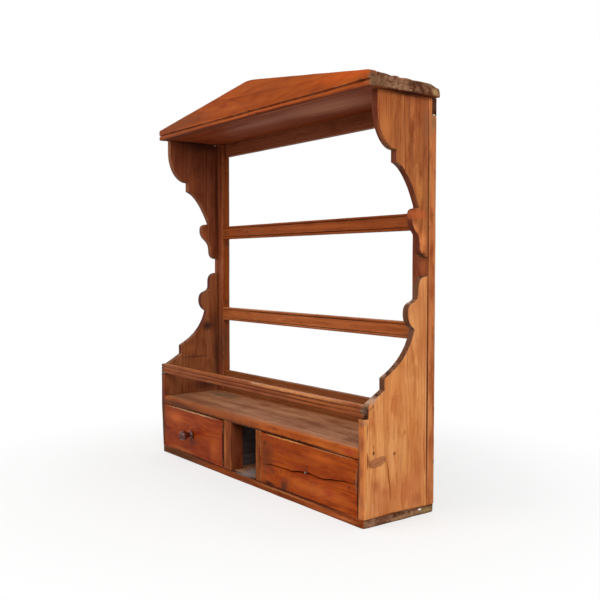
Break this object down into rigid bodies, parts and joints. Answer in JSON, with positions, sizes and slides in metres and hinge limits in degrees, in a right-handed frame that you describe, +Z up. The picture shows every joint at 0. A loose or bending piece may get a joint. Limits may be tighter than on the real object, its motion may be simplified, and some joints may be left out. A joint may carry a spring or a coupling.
{
  "type": "wall plate rack",
  "caption": "Wall-hung pine plate rack: gabled top, scrolled side brackets, open back with plate rails, reeded gallery rail over a shelf, small drawers and a pigeonhole between them.",
  "frame": {"origin": "middle of the underside of the bottom board, on the rack's own middle plane and halfway from wall to front", "axes": "+X to the right along the wall, +Y into the wall, so the front is on -Y, +Z up"},
  "size_m": [0.973, 0.2606, 1.0553],
  "materials": {
    "side_pine": "old varnished pine, honey orange, satin",
    "carcass_pine": "old varnished pine, red-brown, satin",
    "rail_pine": "old varnished pine with worn edges",
    "top_pine": "dull old pine with weathered end grain",
    "pediment_pine": "old varnished pine, satin",
    "worn_pine": "old pine worn to grey-brown",
    "drawer_front_pine": "old varnished pine, deep orange, satin",
    "drawer_board_pine": "bare old pine",
    "hidden_pine": "dark unpolished pine",
    "knob_wood": "turned hardwood, dark red-brown, polished by hands",
    "old_iron": "rusty iron pin"
  },
  "bodies": {
    "rack": {"top_board": "top_pine", "pediment_board": "pediment_pine", "top_back_rail": "carcass_pine", "left_upper_bracket": "side_pine", "right_upper_bracket": "side_pine", "left_lower_side": "side_pine", "right_lower_side": "side_pine", "left_stile": "carcass_pine", "right_stile": "carcass_pine", "upper_plate_rail": "rail_pine", "lower_plate_rail": "rail_pine", "back_panel": "hidden_pine", "gallery_rail": "rail_pine", "shelf_board": "worn_pine", "bottom_board": "worn_pine", "left_divider_post": "carcass_pine", "right_divider_post": "carcass_pine", "left_partition": "hidden_pine", "right_partition": "hidden_pine"},
    "left_drawer": {"left_drawer_front": "drawer_front_pine", "left_drawer_left_side": "drawer_board_pine", "left_drawer_right_side": "drawer_board_pine", "left_drawer_back": "drawer_board_pine", "left_drawer_bottom": "drawer_board_pine", "left_drawer_knob": "knob_wood"},
    "right_drawer": {"right_drawer_front": "drawer_front_pine", "right_drawer_left_side": "drawer_board_pine", "right_drawer_right_side": "drawer_board_pine", "right_drawer_back": "drawer_board_pine", "right_drawer_bottom": "drawer_board_pine", "right_drawer_knob_pin": "old_iron"}
  },
  "joints": [
    {"name": "left_drawer_slide", "type": "slide", "parent": "rack", "child": "left_drawer", "axis": [0, -1, 0], "range_m": [0, 0.165]},
    {"name": "right_drawer_slide", "type": "slide", "parent": "rack", "child": "right_drawer", "axis": [0, -1, 0], "range_m": [0, 0.165]}
  ]
}
